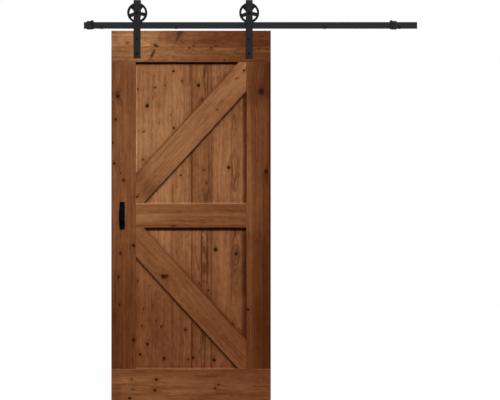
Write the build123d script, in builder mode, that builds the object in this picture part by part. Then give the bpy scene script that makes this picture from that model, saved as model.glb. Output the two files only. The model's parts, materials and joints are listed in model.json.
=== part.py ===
from build123d import *

import os
from math import acos, atan2, hypot, tan

# A sliding barn door: one framed plank door that hangs from a flat steel track on two spoked wheels.
# Millimetres. +X is to the right, the front faces -Y and +Z is up.
# The origin lies on the wall plane, at the middle of the row of track fixings.
# A depth is a distance from the wall towards the viewer, so a point at depth d has y = -d.

# Track, a flat bar
track_length = 1914
track_height = 38
track_thickness = 6
fixing_inset = 100
fixing_count = 5

# Wall fixings: a spacer and a flange-headed lag screw at each place
spacer_length = 30
spacer_radius = 11
spacer_foot_radius = 17.5
spacer_foot_thickness = 6
lag_shank_radius = 4
lag_hole_clearance = 0.4
lag_flange_radius = 9
lag_flange_thickness = 1.8
lag_head_across_flats = 13
lag_head_height = 5
lag_thread_radius = 3.5
lag_thread_length = 50

# Door slab: vertical planks at the back, frame boards at the front
door_width = 914.4
door_height = 2133.6
door_inset = 158.9
door_gap = 12.6
plank_thickness = 18
plank_count = 8
plank_seam = 0.4
plank_bevel = 1.2
tongue_length = 6
tongue_thickness = 6
tongue_clearance = 0.3
frame_thickness = 17
stile_width = 139.7
top_rail_height = 180
middle_rail_height = 139.7
bottom_rail_height = 194
brace_width = 148
brace_foot = 46
board_joint = 0.4
arris_radius = 2.5

# Hanger straps, bent over the wheels from flat bar.
# Each is bolted through the second plank from its edge of the door, at this distance past the seam.
left_hanger_past_seam = 33.4
right_hanger_past_seam = 9.6
strap_width = 40
strap_thickness = 5
strap_bend_radius = 5
strap_crown_height = 73.7
strap_tail_length = 260
strap_back_length = 22

# Bolts through the straps and the door
hanger_bolt_radius = 4
hanger_bolt_hole_clearance = 0.3
upper_bolt_drop = 150.9
bolt_spacing = 83.3
bolt_head_across_flats = 13
bolt_head_height = 4.5
bolt_nut_across_flats = 13
bolt_nut_height = 5.5
bolt_nut_flange_radius = 9
bolt_nut_flange_thickness = 1.6
bolt_end_length = 1

# Wheels
wheel_radius = 57.5
wheel_width = 20
wheel_side_clearance = 5
groove_depth = 4.5
groove_floor_width = 8
groove_mouth_width = 10.5
wheel_running_clearance = 0.3
rim_inner_radius = 45
web_thickness = 14
hub_radius = 19.5
spoke_count = 5
spoke_width = 19.5
first_spoke_angle = -86
opening_round = 3.6

# Axles, sleeves and sealed bearings
axle_radius = 5
axle_clearance = 0.1
axle_head_across_flats = 16
axle_head_height = 5
axle_nut_across_flats = 16
axle_nut_height = 6
axle_end_length = 1
sleeve_radius = 8.5
bearing_radius = 15
bearing_width = 14
bearing_running_clearance = 0.08
bearing_seat_clearance = 0.02

# Track stops: a clamp with a rubber bumper on its door side
left_stop_inset = 56
right_stop_inset = 157
clamp_length = 25
clamp_cheek = 5
clamp_bridge = 5.5
clamp_skirt = 4
stop_clearance = 0.3
clamp_edge_bevel = 1
bumper_length = 14
bumper_width = 20
bumper_rise = 10
bumper_drop = 3
bumper_bevel = 3
stop_screw_radius = 3
stop_screw_hole_clearance = 0.05
stop_screw_proud = 1.2
stop_socket_across_flats = 3
stop_socket_depth = 2

# Pull handle, a bowed flat bar
pull_inset = 62.7
pull_length = 157
pull_width = 32
pull_end_width = 28
pull_thickness = 7
pull_projection = 32
pull_foot_length = 27
pull_ramp_height = 16
pull_bend_radius = 5
pull_corner_radius = 5
pull_screw_radius = 2.5
pull_screw_hole_clearance = 0.2
pull_screw_depth = 4.5
pull_screw_head_radius = 5
pull_screw_head_height = 3

# A cut runs this far past the faces that it opens
overrun = 1

# Depths from the wall
track_back = spacer_length
track_front = track_back + track_thickness
wheel_depth = (track_back + track_front) / 2
strap_gap = wheel_width + 2 * wheel_side_clearance
door_front = wheel_depth + strap_gap / 2
strap_front = door_front + strap_thickness
strap_back_inside = wheel_depth - strap_gap / 2
strap_back_outside = strap_back_inside - strap_thickness
frame_back = door_front - frame_thickness
door_back = frame_back - plank_thickness

# Heights
track_top = track_height / 2
track_bottom = -track_top
axle_height = track_top + wheel_running_clearance + wheel_radius - groove_depth
strap_top = axle_height + strap_crown_height
strap_bottom = axle_height - strap_tail_length
door_top = track_bottom - door_gap
door_bottom = door_top - door_height
top_rail_bottom = door_top - top_rail_height
bottom_rail_top = door_bottom + bottom_rail_height
middle_rail_centre = (top_rail_bottom + bottom_rail_top) / 2
middle_rail_top = middle_rail_centre + middle_rail_height / 2
middle_rail_bottom = middle_rail_centre - middle_rail_height / 2

# Places along the track
door_left = door_inset - track_length / 2
door_right = door_left + door_width
left_stile_inside = door_left + stile_width
right_stile_inside = door_right - stile_width
plank_pitch = door_width / plank_count
hanger_x = {
    "left": door_left + plank_pitch + left_hanger_past_seam,
    "right": door_right - plank_pitch - right_hanger_past_seam,
}
pull_x = door_left + pull_inset
fixing_pitch = (track_length - 2 * fixing_inset) / (fixing_count - 1)
fixing_x = [fixing_inset - track_length / 2 + i * fixing_pitch for i in range(fixing_count)]

# Points of the repeated fixings, as (x, z) on a plane that faces the front
fixing_points = [(x, 0) for x in fixing_x]
axle_points = [(x, axle_height) for x in hanger_x.values()]
bolt_heights = (axle_height - upper_bolt_drop, axle_height - upper_bolt_drop - bolt_spacing)
hanger_bolt_points = [(x, z) for x in hanger_x.values() for z in bolt_heights]
pull_screw_reach = (pull_length - pull_foot_length) / 2
pull_screw_points = [(pull_x, middle_rail_centre + side * pull_screw_reach) for side in (-1, 1)]

os.makedirs("parts", exist_ok=True)


def facing_front(depth):
    """The plane at a depth from the wall: its x is +X, its y is +Z, and it extrudes to the viewer."""
    return Plane.XZ.offset(depth)


def side_section(x):
    """The plane across the track at x: its x is +Y, its y is +Z, and it extrudes to the right."""
    return Plane.YZ.offset(x)


def save(piece, name):
    """Label a finished piece and write its own STEP file."""
    piece.label = name
    export_step(piece, f"parts/{name}.step")


def hexagon_radius(across_flats):
    """The corner radius of a hexagon from its width across flats."""
    return across_flats / 3**0.5


# Track rail: a square-ended flat bar with a hole for each lag screw
with BuildPart() as track_rail:
    with BuildSketch(facing_front(track_back)):
        Rectangle(track_length, track_height)
        with Locations(*fixing_points):
            Circle(lag_shank_radius + lag_hole_clearance, mode=Mode.SUBTRACT)
    extrude(amount=track_thickness)
save(track_rail.part, "track_rail")

# Wall spacers: tubes between the wall and the rail, with a wider foot on the wall
with BuildPart() as wall_spacers:
    with BuildSketch(facing_front(0)):
        with Locations(*fixing_points):
            Circle(spacer_foot_radius)
    extrude(amount=spacer_foot_thickness)
    with BuildSketch(facing_front(0)):
        with Locations(*fixing_points):
            Circle(spacer_radius)
    extrude(amount=spacer_length)
    with BuildSketch(facing_front(0)):
        with Locations(*fixing_points):
            Circle(lag_shank_radius + lag_hole_clearance)
    extrude(amount=spacer_length, mode=Mode.SUBTRACT)
save(wall_spacers.part, "wall_spacers")

# Lag screws: the plain shank ends at the wall, and the threaded end stands out behind it
with BuildPart() as lag_screws:
    with BuildSketch(facing_front(-lag_thread_length)):
        with Locations(*fixing_points):
            Circle(lag_thread_radius)
    extrude(amount=lag_thread_length)
    with BuildSketch(facing_front(0)):
        with Locations(*fixing_points):
            Circle(lag_shank_radius)
    extrude(amount=track_front)
    with BuildSketch(facing_front(track_front)):
        with Locations(*fixing_points):
            Circle(lag_flange_radius)
    extrude(amount=lag_flange_thickness)
    with BuildSketch(facing_front(track_front + lag_flange_thickness)):
        with Locations(*fixing_points):
            RegularPolygon(hexagon_radius(lag_head_across_flats), 6)
    extrude(amount=lag_head_height)
save(lag_screws.part, "lag_screws")

# Track stops: a steel saddle that a set screw clamps to the rail, and a rubber bumper on its door side
slot_width = track_thickness + 2 * stop_clearance
clamp_width = slot_width + 2 * clamp_cheek
slot_top = track_top + stop_clearance
clamp_top = slot_top + clamp_bridge
clamp_bottom = track_bottom - clamp_skirt
bumper_top = track_top + bumper_rise
bumper_bottom = track_bottom - bumper_drop
stops = {
    "left": (left_stop_inset - track_length / 2, -1),
    "right": (track_length / 2 - right_stop_inset, 1),
}
stop_screw_points = []
for side, (stop_face, outward) in stops.items():
    clamp_start = stop_face + outward * bumper_length
    clamp_centre = clamp_start + outward * clamp_length / 2
    stop_screw_points.append((clamp_centre, 0))

    with BuildPart() as clamp:
        with BuildSketch(side_section(clamp_start)):
            with Locations((-wheel_depth, (clamp_top + clamp_bottom) / 2)):
                Rectangle(clamp_width, clamp_top - clamp_bottom)
            with Locations((-wheel_depth, slot_top)):
                Rectangle(
                    slot_width,
                    slot_top - clamp_bottom,
                    align=(Align.CENTER, Align.MAX),
                    mode=Mode.SUBTRACT,
                )
        extrude(amount=outward * clamp_length)
        chamfer(clamp.faces().sort_by(Axis.Y)[0].edges(), clamp_edge_bevel)
        with BuildSketch(facing_front(track_front)):
            with Locations((clamp_centre, 0)):
                Circle(stop_screw_radius + stop_screw_hole_clearance)
        extrude(amount=stop_clearance + clamp_cheek + overrun, mode=Mode.SUBTRACT)
    save(clamp.part, f"{side}_stop_clamp")

    with BuildPart() as bumper:
        with BuildSketch(side_section(stop_face)):
            with Locations((-wheel_depth, (bumper_top + bumper_bottom) / 2)):
                Rectangle(bumper_width, bumper_top - bumper_bottom)
        extrude(amount=outward * bumper_length)
        chamfer(bumper.faces().sort_by(Axis.X)[-1 if outward < 0 else 0].edges(), bumper_bevel)
        with BuildSketch(side_section(stop_face)):
            with Locations((-wheel_depth, slot_top)):
                Rectangle(
                    slot_width,
                    slot_top - bumper_bottom + overrun,
                    align=(Align.CENTER, Align.MAX),
                )
        extrude(amount=outward * bumper_length, both=True, mode=Mode.SUBTRACT)
    save(bumper.part, f"{side}_stop_bumper")

with BuildPart() as stop_screws:
    with BuildSketch(facing_front(track_front)):
        with Locations(*stop_screw_points):
            Circle(stop_screw_radius)
    extrude(amount=stop_clearance + clamp_cheek + stop_screw_proud)
    with BuildSketch(facing_front(track_front + stop_clearance + clamp_cheek + stop_screw_proud)):
        with Locations(*stop_screw_points):
            RegularPolygon(hexagon_radius(stop_socket_across_flats), 6)
    extrude(amount=-stop_socket_depth, mode=Mode.SUBTRACT)
save(stop_screws.part, "stop_screws")

# Planks: full-height tongue and groove boards, each with its tongue on the right and bevelled front edges
tongue_depth = (frame_back + door_back) / 2
for number in range(plank_count):
    plank_left = door_left + number * plank_pitch
    plank_right = plank_left + plank_pitch
    has_groove = number > 0
    has_tongue = number < plank_count - 1
    face_right = plank_right - plank_seam if has_tongue else plank_right
    with BuildPart() as plank:
        with BuildSketch(Plane.XY.offset(door_bottom)):
            with Locations((plank_left, -door_back)):
                Rectangle(face_right - plank_left, plank_thickness, align=(Align.MIN, Align.MAX))
            if has_tongue:
                with Locations((face_right, -tongue_depth)):
                    Rectangle(tongue_length, tongue_thickness, align=(Align.MIN, Align.CENTER))
            if has_groove:
                with Locations((plank_left, -tongue_depth)):
                    Rectangle(
                        tongue_length + tongue_clearance,
                        tongue_thickness + 2 * tongue_clearance,
                        align=(Align.MIN, Align.CENTER),
                        mode=Mode.SUBTRACT,
                    )
        extrude(amount=door_height)
        seam_edges = plank.faces().sort_by(Axis.Y)[0].edges().filter_by(Axis.Z).sort_by(Axis.X)
        if has_groove:
            chamfer(seam_edges[0], plank_bevel)
        if has_tongue:
            chamfer(seam_edges[-1], plank_bevel)
        with BuildSketch(facing_front(door_back)):
            with Locations(*hanger_bolt_points):
                Circle(hanger_bolt_radius + hanger_bolt_hole_clearance)
            with Locations(*pull_screw_points):
                Circle(pull_screw_radius + pull_screw_hole_clearance)
        extrude(amount=plank_thickness, mode=Mode.SUBTRACT)
    save(plank.part, f"plank_{number + 1}")

# Frame boards: rails run the full width, stiles stand between them, and the middle rail between the stiles
stile_bottom = bottom_rail_top + board_joint
stile_top = top_rail_bottom - board_joint
middle_left = left_stile_inside + board_joint
middle_right = right_stile_inside - board_joint
boards = {
    "top_rail": (door_left, door_right, top_rail_bottom, door_top),
    "middle_rail": (middle_left, middle_right, middle_rail_bottom, middle_rail_top),
    "bottom_rail": (door_left, door_right, door_bottom, bottom_rail_top),
    "left_stile": (door_left, left_stile_inside, stile_bottom, stile_top),
    "right_stile": (right_stile_inside, door_right, stile_bottom, stile_top),
}
board_holes = {
    "top_rail": (hanger_bolt_points, hanger_bolt_radius + hanger_bolt_hole_clearance),
    "left_stile": (pull_screw_points, pull_screw_radius + pull_screw_hole_clearance),
}
for name, (left, right, low, high) in boards.items():
    with BuildPart() as board:
        with BuildSketch(facing_front(frame_back)):
            with Locations((left, low)):
                Rectangle(right - left, high - low, align=(Align.MIN, Align.MIN))
        extrude(amount=frame_thickness)
        fillet(board.faces().sort_by(Axis.Y)[0].edges(), arris_radius)
        if name in board_holes:
            points, hole_radius = board_holes[name]
            with BuildSketch(facing_front(frame_back)):
                with Locations(*points):
                    Circle(hole_radius)
            extrude(amount=frame_thickness, mode=Mode.SUBTRACT)
    save(board.part, name)

# Braces: a board across each half of the frame, cut to fit two opposite corners.
# Its edges slope so that the board keeps its width, with one foot on the rail at each end.
braces = {
    "upper_brace": (middle_rail_top + board_joint, top_rail_bottom - board_joint, 1),
    "lower_brace": (bottom_rail_top + board_joint, middle_rail_bottom - board_joint, -1),
}
for name, (low, high, rise) in braces.items():
    span = middle_right - middle_left
    height = high - low
    free_span = span - 2 * brace_foot
    slope = acos(brace_width / hypot(free_span, height)) - atan2(free_span, height)
    climb = (span - brace_foot) * tan(slope)
    outline = [
        (0, 0),
        (brace_foot, 0),
        (span, climb),
        (span, height),
        (span - brace_foot, height),
        (0, height - climb),
    ]
    start = low if rise > 0 else high
    with BuildPart() as brace:
        with BuildSketch(facing_front(frame_back)):
            with BuildLine():
                Polyline(*[(middle_left + x, start + rise * z) for x, z in outline], close=True)
            make_face()
        extrude(amount=frame_thickness)
        fillet(brace.faces().sort_by(Axis.Y)[0].edges(), arris_radius)
    save(brace.part, name)

# Hangers and wheels, one of each at the left and at the right
strap_outer_bend = strap_bend_radius + strap_thickness
for side, place_x in hanger_x.items():
    with BuildPart() as strap:
        with BuildSketch(side_section(place_x)):
            with BuildLine():
                FilletPolyline(
                    (-strap_front, strap_bottom),
                    (-strap_front, strap_top),
                    (-strap_back_outside, strap_top),
                    (-strap_back_outside, axle_height - strap_back_length),
                    radius=strap_outer_bend,
                )
                Line(
                    (-strap_back_outside, axle_height - strap_back_length),
                    (-strap_back_inside, axle_height - strap_back_length),
                )
                FilletPolyline(
                    (-strap_back_inside, axle_height - strap_back_length),
                    (-strap_back_inside, strap_top - strap_thickness),
                    (-door_front, strap_top - strap_thickness),
                    (-door_front, strap_bottom),
                    radius=strap_bend_radius,
                )
                Line((-door_front, strap_bottom), (-strap_front, strap_bottom))
            make_face()
        extrude(amount=strap_width / 2, both=True)
        with BuildSketch(facing_front(strap_back_outside)):
            with Locations((place_x, axle_height)):
                Circle(axle_radius + axle_clearance)
        extrude(amount=strap_front - strap_back_outside, mode=Mode.SUBTRACT)
        with BuildSketch(facing_front(door_front)):
            with Locations(*[(place_x, z) for z in bolt_heights]):
                Circle(hanger_bolt_radius + hanger_bolt_hole_clearance)
        extrude(amount=strap_thickness, mode=Mode.SUBTRACT)
    save(strap.part, f"{side}_hanger_strap")

    hub = (place_x, -wheel_depth, axle_height)
    web_side = web_thickness / 2
    rim_side = wheel_width / 2
    pocket_radius = bearing_radius + bearing_seat_clearance
    with BuildPart() as wheel:
        with BuildSketch(Plane(hub, x_dir=(0, 1, 0), z_dir=(1, 0, 0))):
            with BuildLine():
                Polyline(
                    (-web_side, pocket_radius),
                    (web_side, pocket_radius),
                    (web_side, rim_inner_radius),
                    (rim_side, rim_inner_radius),
                    (rim_side, wheel_radius),
                    (groove_mouth_width / 2, wheel_radius),
                    (groove_floor_width / 2, wheel_radius - groove_depth),
                    (-groove_floor_width / 2, wheel_radius - groove_depth),
                    (-groove_mouth_width / 2, wheel_radius),
                    (-rim_side, wheel_radius),
                    (-rim_side, rim_inner_radius),
                    (-web_side, rim_inner_radius),
                    close=True,
                )
            make_face()
        revolve(axis=Axis(hub, (0, 1, 0)))
        with BuildSketch(Plane(hub, x_dir=(1, 0, 0), z_dir=(0, -1, 0))) as openings:
            Circle(rim_inner_radius)
            Circle(hub_radius, mode=Mode.SUBTRACT)
            with PolarLocations(0, spoke_count, start_angle=first_spoke_angle):
                Rectangle(
                    rim_inner_radius + overrun,
                    spoke_width,
                    align=(Align.MIN, Align.CENTER),
                    mode=Mode.SUBTRACT,
                )
            fillet(openings.vertices(), opening_round)
        extrude(amount=web_side, both=True, mode=Mode.SUBTRACT)
    save(wheel.part, f"{side}_wheel")

    # The sealed bearing is pressed into the hub and turns with the wheel on the axle's sleeve
    with BuildPart() as bearing:
        with BuildSketch(facing_front(wheel_depth)):
            with Locations((place_x, axle_height)):
                Circle(bearing_radius)
                Circle(sleeve_radius + bearing_running_clearance, mode=Mode.SUBTRACT)
        extrude(amount=bearing_width / 2, both=True)
    save(bearing.part, f"{side}_bearing")

# Axle sleeves keep the legs of each strap apart when the axle nut is tightened
with BuildPart() as axle_sleeves:
    with BuildSketch(facing_front(strap_back_inside)):
        with Locations(*axle_points):
            Circle(sleeve_radius)
            Circle(axle_radius + axle_clearance, mode=Mode.SUBTRACT)
    extrude(amount=strap_gap)
save(axle_sleeves.part, "axle_sleeves")

# Axle bolts: a low hexagon head at the front and a thin nut behind the strap
axle_end = strap_back_outside - axle_nut_height - axle_end_length
with BuildPart() as axle_bolts:
    with BuildSketch(facing_front(axle_end)):
        with Locations(*axle_points):
            Circle(axle_radius)
    extrude(amount=strap_front - axle_end)
    with BuildSketch(facing_front(strap_front)):
        with Locations(*axle_points):
            RegularPolygon(hexagon_radius(axle_head_across_flats), 6)
    extrude(amount=axle_head_height)
save(axle_bolts.part, "axle_bolts")

with BuildPart() as axle_nuts:
    with BuildSketch(facing_front(strap_back_outside - axle_nut_height)):
        with Locations(*axle_points):
            RegularPolygon(hexagon_radius(axle_nut_across_flats), 6)
            Circle(axle_radius + axle_clearance, mode=Mode.SUBTRACT)
    extrude(amount=axle_nut_height)
save(axle_nuts.part, "axle_nuts")

# Hanger bolts: through the strap, the top rail and a plank to a flange nut at the back
bolt_end = door_back - bolt_nut_flange_thickness - bolt_nut_height - bolt_end_length
with BuildPart() as hanger_bolts:
    with BuildSketch(facing_front(bolt_end)):
        with Locations(*hanger_bolt_points):
            Circle(hanger_bolt_radius)
    extrude(amount=strap_front - bolt_end)
    with BuildSketch(facing_front(strap_front)):
        with Locations(*hanger_bolt_points):
            RegularPolygon(hexagon_radius(bolt_head_across_flats), 6)
    extrude(amount=bolt_head_height)
save(hanger_bolts.part, "hanger_bolts")

with BuildPart() as hanger_nuts:
    with BuildSketch(facing_front(door_back - bolt_nut_flange_thickness)):
        with Locations(*hanger_bolt_points):
            Circle(bolt_nut_flange_radius)
    extrude(amount=bolt_nut_flange_thickness)
    with BuildSketch(facing_front(door_back - bolt_nut_flange_thickness)):
        with Locations(*hanger_bolt_points):
            RegularPolygon(hexagon_radius(bolt_nut_across_flats), 6)
    extrude(amount=-bolt_nut_height)
    with BuildSketch(facing_front(door_back)):
        with Locations(*hanger_bolt_points):
            Circle(hanger_bolt_radius + hanger_bolt_hole_clearance)
    extrude(amount=-bolt_nut_flange_thickness - bolt_nut_height, mode=Mode.SUBTRACT)
save(hanger_nuts.part, "hanger_nuts")

# Pull handle: a flat bar bent out from two feet, a little wider at its grip than at its ends.
# The bar keeps its thickness round the bends, so its door side turns further along than its front.
pull_half = pull_length / 2
pull_run = pull_projection - pull_thickness
pull_shift = pull_thickness * tan(atan2(pull_run, pull_ramp_height) / 2)
foot_turn = pull_half - pull_foot_length
grip_turn = foot_turn - pull_ramp_height
pull_outer_bend = pull_bend_radius + pull_thickness
front_side = [
    (pull_thickness, pull_half),
    (pull_thickness, foot_turn),
    (pull_projection, grip_turn),
    (pull_projection, -grip_turn),
    (pull_thickness, -foot_turn),
    (pull_thickness, -pull_half),
]
door_side = [
    (0, -pull_half),
    (0, pull_shift - foot_turn),
    (pull_run, pull_shift - grip_turn),
    (pull_run, grip_turn - pull_shift),
    (0, foot_turn - pull_shift),
    (0, pull_half),
]


def pull_points(side):
    """Points of the handle's side view, from (distance off the door, height about its middle)."""
    return [(-door_front - out, middle_rail_centre + up) for out, up in side]


with BuildPart() as pull_handle:
    with BuildSketch(side_section(pull_x)):
        with BuildLine():
            FilletPolyline(
                *pull_points(front_side),
                radius=[pull_bend_radius, pull_outer_bend, pull_outer_bend, pull_bend_radius],
            )
            Line(*pull_points([front_side[-1], door_side[0]]))
            FilletPolyline(
                *pull_points(door_side),
                radius=[pull_outer_bend, pull_bend_radius, pull_bend_radius, pull_outer_bend],
            )
            Line(*pull_points([door_side[-1], front_side[0]]))
        make_face()
    extrude(amount=pull_width / 2, both=True)
    with BuildSketch(facing_front(door_front)) as pull_outline:
        with BuildLine(Plane.XY):
            low, high = middle_rail_centre - pull_half, middle_rail_centre + pull_half
            left_end, right_end = pull_x - pull_end_width / 2, pull_x + pull_end_width / 2
            ThreePointArc((right_end, low), (pull_x + pull_width / 2, middle_rail_centre), (right_end, high))
            Line((right_end, high), (left_end, high))
            ThreePointArc((left_end, high), (pull_x - pull_width / 2, middle_rail_centre), (left_end, low))
            Line((left_end, low), (right_end, low))
        make_face()
        fillet(pull_outline.vertices(), pull_corner_radius)
    extrude(amount=pull_projection, mode=Mode.INTERSECT)
    with BuildSketch(facing_front(door_front)):
        with Locations(*pull_screw_points):
            Circle(pull_screw_radius + pull_screw_hole_clearance)
    extrude(amount=pull_screw_depth, mode=Mode.SUBTRACT)
save(pull_handle.part, "pull_handle")

with BuildPart() as pull_screws:
    with BuildSketch(facing_front(door_back - pull_screw_head_height)):
        with Locations(*pull_screw_points):
            Circle(pull_screw_head_radius)
    extrude(amount=pull_screw_head_height)
    with BuildSketch(facing_front(door_back)):
        with Locations(*pull_screw_points):
            Circle(pull_screw_radius)
    extrude(amount=plank_thickness + frame_thickness + pull_screw_depth)
save(pull_screws.part, "pull_screws")
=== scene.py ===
# %% [markdown]
# # A sliding barn door
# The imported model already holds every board, strap, wheel and screw at its real size and place.
# This lesson dresses it: first the camera and the light, then the stained pine, the black steel and the
# rubber, and last the small hardware that is worth modelling by hand.

import json
import math

import bpy
from mathutils import Matrix, Vector


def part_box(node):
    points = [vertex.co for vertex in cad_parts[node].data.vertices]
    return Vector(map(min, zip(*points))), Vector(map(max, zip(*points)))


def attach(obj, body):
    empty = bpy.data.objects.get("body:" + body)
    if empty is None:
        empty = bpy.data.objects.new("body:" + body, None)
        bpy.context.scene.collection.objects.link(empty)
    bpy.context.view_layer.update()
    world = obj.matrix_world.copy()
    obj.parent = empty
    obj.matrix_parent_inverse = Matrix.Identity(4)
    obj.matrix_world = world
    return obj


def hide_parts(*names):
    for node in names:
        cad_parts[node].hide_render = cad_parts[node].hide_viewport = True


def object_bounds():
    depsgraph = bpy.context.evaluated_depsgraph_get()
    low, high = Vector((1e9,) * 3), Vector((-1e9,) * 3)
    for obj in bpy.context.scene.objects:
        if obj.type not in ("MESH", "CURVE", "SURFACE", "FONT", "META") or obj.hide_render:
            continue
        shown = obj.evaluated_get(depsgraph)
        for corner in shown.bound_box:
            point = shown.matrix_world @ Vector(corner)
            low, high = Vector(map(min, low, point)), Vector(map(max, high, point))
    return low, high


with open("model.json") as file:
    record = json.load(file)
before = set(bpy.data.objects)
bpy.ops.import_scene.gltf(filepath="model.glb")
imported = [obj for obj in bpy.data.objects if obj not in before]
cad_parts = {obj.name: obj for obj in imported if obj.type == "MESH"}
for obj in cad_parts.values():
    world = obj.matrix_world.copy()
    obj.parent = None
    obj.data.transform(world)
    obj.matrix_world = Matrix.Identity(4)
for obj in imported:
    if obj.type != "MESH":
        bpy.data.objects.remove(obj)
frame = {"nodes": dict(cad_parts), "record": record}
nodes = frame["nodes"]
cad_low, cad_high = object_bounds()
print("nodes", len(nodes), "size in metres", [round(x, 3) for x in cad_high - cad_low])

# %% [markdown]
# ## Camera
# The photograph looks straight at the door. Its own edges give the scale: the leaf's left and right edges
# and its top are read off in pixels, and the rest follows from the leaf's real width. Knots and stains are
# noted later by the pixel where they show, so a helper carries a pixel to a depth behind the front face.

# %% Camera
PHOTO_WIDTH, PHOTO_HEIGHT = 500, 400
DOOR_LEFT_PX, DOOR_RIGHT_PX, DOOR_TOP_PX = 111.3, 270.8, 30.6
CAMERA_DISTANCE = 8.0
SENSOR_WIDTH = 36

rail_low, rail_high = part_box("top_rail")
door_front = rail_low.y
metres_per_px = (rail_high.x - rail_low.x) / (DOOR_RIGHT_PX - DOOR_LEFT_PX)
camera_x = rail_low.x + (PHOTO_WIDTH / 2 - DOOR_LEFT_PX) * metres_per_px
camera_z = rail_high.z - (PHOTO_HEIGHT / 2 - DOOR_TOP_PX) * metres_per_px

camera_data = bpy.data.cameras.new("camera")
camera_data.sensor_width = SENSOR_WIDTH
camera_data.lens = SENSOR_WIDTH * CAMERA_DISTANCE / (PHOTO_WIDTH * metres_per_px)
camera = bpy.data.objects.new("camera", camera_data)
camera.location = (camera_x, door_front - CAMERA_DISTANCE, camera_z)
camera.rotation_euler = (math.radians(90), 0, 0)
scene = bpy.context.scene
scene.collection.objects.link(camera)
scene.camera = camera


def photo_point(px, py, depth=door_front):
    """The point at a depth, as a y of the frame, that shows at a pixel of the photograph."""
    scale = metres_per_px * (depth - camera.location.y) / CAMERA_DISTANCE
    x = camera_x + (px - PHOTO_WIDTH / 2) * scale
    z = camera_z - (py - PHOTO_HEIGHT / 2) * scale
    return Vector((x, depth, z))


print("camera at", [round(x, 4) for x in camera.location], "lens", round(camera_data.lens, 2))

# %% [markdown]
# ## Light
# A product photograph is lit softly from all round. The key light stands high in front, a little to the
# right, so each rail and brace throws a narrow dark shadow on the planks below it. A weak fill from the
# viewer's side opens those shadows, a ceiling light catches the upper edges, and a back light serves the
# side that the photograph doesn't show. Key, fill and sky together make about one unit on a face that
# looks at the camera, so a stain renders about as its colour is written. Area lamps would light one end
# of the track more than the other. Soft suns light the door alike wherever it slides.

# %% Light
KEY_DIRECTION = Vector((0.15, -1, 1)).normalized()
KEY_SHARE = 0.7
SUN_ANGLE = 26
FILL_DIRECTION = Vector((0, -1, 0.25)).normalized()
FILL_SHARE = 0.12
CEILING_DIRECTION = Vector((0, 0, 1))
CEILING_LEVEL = 0.5
BACK_DIRECTION = Vector((-0.3, 1, 0.5)).normalized()
BACK_LEVEL = 0.45

scene.view_settings.view_transform = "Standard"


def add_sun(name, direction, level):
    """A soft sun from a direction, with its level on a face that looks straight at it."""
    data = bpy.data.lights.new(name, "SUN")
    data.angle = math.radians(SUN_ANGLE)
    data.energy = level * math.pi
    sun = bpy.data.objects.new(name, data)
    sun.rotation_euler = direction.to_track_quat("Z", "Y").to_euler()
    scene.collection.objects.link(sun)
    print(name, "level", round(level, 3))


add_sun("key", KEY_DIRECTION, KEY_SHARE / -KEY_DIRECTION.y)
add_sun("fill", FILL_DIRECTION, FILL_SHARE / -FILL_DIRECTION.y)
add_sun("ceiling", CEILING_DIRECTION, CEILING_LEVEL)
add_sun("back", BACK_DIRECTION, BACK_LEVEL)

# %% [markdown]
# ## Helpers for shader nodes
# Every material below is a tree of nodes. They could be added and linked one by one, but a tree reads
# better as a formula. So a small class stands for an output of a node. A sum or product of two such values
# adds the Math node that works it out, or the Vector Math node where the value is a vector.

# %% Node helpers


def join(socket, value):
    """Feed a socket from a value or a node's first output, or set it to a number, colour or vector."""
    if isinstance(value, bpy.types.Node):
        value = Value(value)
    if isinstance(value, Value):
        socket.id_data.links.new(value.node.outputs[value.output], socket)
    else:
        socket.default_value = value


def feed(node, inputs):
    """Join a node's inputs, each by name or number."""
    for key, value in inputs.items():
        join(node.inputs[key], value)


def add_node(tree, kind, inputs=None, **settings):
    """A shader node with its settings and inputs."""
    node = tree.nodes.new("ShaderNode" + kind)
    for name, setting in settings.items():
        setattr(node, name, setting)
    feed(node, inputs or {})
    return node


print("node helpers", [tool.__name__ for tool in (join, feed, add_node)])

# %% Node values


class Value:
    """An output of a node, by name or number. Arithmetic on it adds nodes to its tree."""

    def __init__(self, node, output=0):
        self.node = node
        self.output = output
        self.tree = node.id_data

    def maths(self, operation, *others):
        kind = "VectorMath" if self.node.outputs[self.output].type == "VECTOR" else "Math"
        node = add_node(self.tree, kind, dict(enumerate((self, *others))), operation=operation)
        return Value(node, "Value" if operation == "LENGTH" else 0)

    def __add__(self, other):
        return self.maths("ADD", other)

    def __sub__(self, other):
        return self.maths("SUBTRACT", other)

    def __rsub__(self, other):
        return Value(add_node(self.tree, "Math", {0: other, 1: self}, operation="SUBTRACT"))

    def __mul__(self, other):
        return self.maths("MULTIPLY", other)

    def __truediv__(self, other):
        return self.maths("DIVIDE", other)

    def __pow__(self, power):
        return self.maths("POWER", power)

    def axis(self, name):
        """The X, Y or Z of a vector."""
        return Value(add_node(self.tree, "SeparateXYZ", {0: self}), name)

    def ease(self, low, high, start=0.0, end=1.0):
        """A soft step: start below low, end above high."""
        inputs = {"Value": self, "From Min": low, "From Max": high, "To Min": start, "To Max": end}
        return Value(add_node(self.tree, "MapRange", inputs, interpolation_type="SMOOTHSTEP"), "Result")


def mix(share, first, second):
    return Value(add_node(share.tree, "Mix", {"Factor": share, "A": first, "B": second}), "Result")


def combine(tree, *values):
    return Value(add_node(tree, "CombineXYZ", dict(enumerate(values))))


print("node values", [tool.__name__ for tool in (Value, mix, combine)])

# %% [markdown]
# ## A white room
# The photograph's ground is pure white. More light would bleach the door, so the sky is white only where
# the camera sees it, and dimmer where it lights the boards. What shines sees the white too, but darker on
# the viewer's side, as in a room with one white wall, so black steel stays black from the front.

# %% Sky
FRONT_GLOSS_LEVEL = 0.1
GLOSS_TURN = 0.6
SKY_FILL = 1 - KEY_SHARE - FILL_SHARE
WHITE = (1, 1, 1, 1)

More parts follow.
